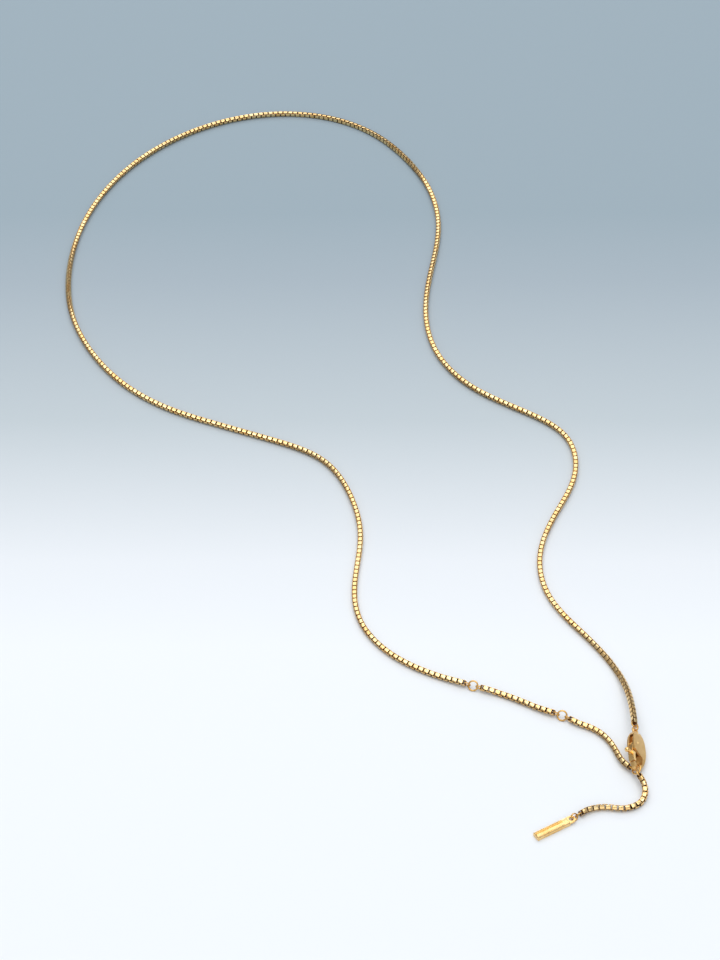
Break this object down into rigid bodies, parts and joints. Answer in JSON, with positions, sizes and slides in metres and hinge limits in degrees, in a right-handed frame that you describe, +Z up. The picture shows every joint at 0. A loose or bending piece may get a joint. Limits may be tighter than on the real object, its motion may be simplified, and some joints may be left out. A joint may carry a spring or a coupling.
{
  "type": "chain necklace",
  "caption": "Fine gold box chain necklace, closed, with a lobster clasp, extender rings and a small bar tag on a short tail.",
  "frame": {"origin": "under the middle of the necklace's bounding box, on the surface it lies on", "axes": "+Z up, -Y towards the clasp and tag end, +X to the clasp's side"},
  "size_m": [0.1144, 0.2194, 0.0044],
  "materials": {
    "chain": "polished gold plate",
    "clasp": "satin gold plate",
    "tag": "polished gold plate",
    "spring": "spring steel"
  },
  "bodies": {
    "right_arm": {"clasp_body": "clasp", "clasp_pin": "chain", "clasp_spring": "spring", "clasp_end_ring": "chain", "right_arm_cross_links_1": "chain", "right_arm_cross_links_2": "chain", "right_arm_cross_links_3": "chain", "right_arm_links_1": "chain", "right_arm_links_2": "chain", "right_arm_links_3": "chain"},
    "right_crown": {"right_crown_cross_links_1": "chain", "right_crown_cross_links_2": "chain", "right_crown_cross_links_3": "chain", "right_crown_cross_links_4": "chain", "right_crown_links_1": "chain", "right_crown_links_2": "chain", "right_crown_links_3": "chain", "right_crown_links_4": "chain"},
    "left_crown": {"left_crown_cross_links_1": "chain", "left_crown_cross_links_2": "chain", "left_crown_cross_links_3": "chain", "left_crown_cross_links_4": "chain", "left_crown_links_1": "chain", "left_crown_links_2": "chain", "left_crown_links_3": "chain", "left_crown_links_4": "chain"},
    "left_arm": {"left_arm_cross_links_1": "chain", "left_arm_cross_links_2": "chain", "left_arm_cross_links_3": "chain", "left_arm_links_1": "chain", "left_arm_links_2": "chain", "left_arm_links_3": "chain", "main_end_ring": "chain", "extender_1_start_ring": "chain", "extender_1_end_ring": "chain", "extender_2_start_ring": "chain", "extender_2_end_ring": "chain", "extender_1_cross_links": "chain", "extender_1_links": "chain", "extender_2_cross_links": "chain", "extender_2_links": "chain"},
    "clasp_lever": {"clasp_lever": "clasp"},
    "clasp_ring": {"clasp_ring": "chain"},
    "ring_1": {"adjustment_ring_1": "chain"},
    "ring_2": {"adjustment_ring_2": "chain"},
    "ring_3": {"adjustment_ring_3": "chain"},
    "tail_top": {"tail_start_ring": "chain", "tail_links_1": "chain", "tail_cross_links_1": "chain"},
    "tail_middle": {"tail_links_2": "chain", "tail_cross_links_2": "chain"},
    "tail_low": {"tail_links_3": "chain", "tail_cross_links_3": "chain", "tail_end_ring": "chain"},
    "tag_ring": {"tag_ring": "chain"},
    "tag": {"bar_tag": "tag"}
  },
  "joints": [
    {"name": "crown_right_bend", "type": "hinge", "parent": "right_arm", "child": "right_crown", "pos_m": [0.0383, 0.00501, 0.00062], "axis": [0, 0, 1], "range_deg": [-10, 10]},
    {"name": "crown_left_bend", "type": "hinge", "parent": "right_crown", "child": "left_crown", "pos_m": [-0.037, 0.09828, 0.00059], "axis": [0, 0, 1], "range_deg": [-10, 10]},
    {"name": "left_arm_bend", "type": "hinge", "parent": "left_crown", "child": "left_arm", "pos_m": [-0.02072, -0.00056, 0.00059], "axis": [0, 0, 1], "range_deg": [-10, 10]},
    {"name": "lever_press", "type": "hinge", "parent": "right_arm", "child": "clasp_lever", "pos_m": [0.05498, -0.08916, 0.00263], "axis": [0.7612, -0.1126, 0.6387], "range_deg": [0, 14], "stiffness_Nm_per_rad": 0.00005, "springref_deg": -20.05},
    {"name": "clasp_ring_spin", "type": "hinge", "parent": "right_arm", "child": "clasp_ring", "pos_m": [0.05545, -0.08542, 0.00273], "axis": [-0.6479, -0.0869, 0.7568], "continuous": true},
    {"name": "ring_1_spin", "type": "hinge", "parent": "left_arm", "child": "ring_1", "pos_m": [0.0267, -0.07295, 0.00081], "axis": [-0.2784, -0.689, 0.6691], "continuous": true},
    {"name": "ring_2_spin", "type": "hinge", "parent": "left_arm", "child": "ring_2", "pos_m": [0.04265, -0.08045, 0.00081], "axis": [-0.2784, -0.689, 0.6691], "continuous": true},
    {"name": "ring_3_spin", "type": "hinge", "parent": "right_arm", "child": "ring_3", "pos_m": [0.05516, -0.0942, 0.00148], "axis": [-0.6479, -0.0869, 0.7568], "continuous": true},
    {"name": "tail_swing", "type": "hinge", "parent": "right_arm", "child": "tail_top", "pos_m": [0.05537, -0.09505, 0.00156], "axis": [0, 0, 1], "range_deg": [-15, 15]},
    {"name": "tail_bend_1", "type": "hinge", "parent": "tail_top", "child": "tail_middle", "pos_m": [0.05561, -0.10095, 0.00056], "axis": [0, 0, -1], "range_deg": [-8, 8]},
    {"name": "tail_bend_2", "type": "hinge", "parent": "tail_middle", "child": "tail_low", "pos_m": [0.04993, -0.10232, 0.00061], "axis": [0, 0, 1], "range_deg": [-10, 10]},
    {"name": "tag_ring_swing", "type": "hinge", "parent": "tail_low", "child": "tag_ring", "pos_m": [0.04405, -0.10428, 0.0007], "axis": [0, 0, -1], "range_deg": [-12, 12]},
    {"name": "tag_swing", "type": "hinge", "parent": "tag_ring", "child": "tag", "pos_m": [0.04302, -0.10508, 0.0005], "axis": [0, 0, 1], "range_deg": [-12, 12]}
  ],
  "couplings": [
    {"joint": "crown_left_bend", "follows": "crown_right_bend", "ratio": -1},
    {"joint": "left_arm_bend", "follows": "crown_right_bend", "ratio": 1}
  ]
}
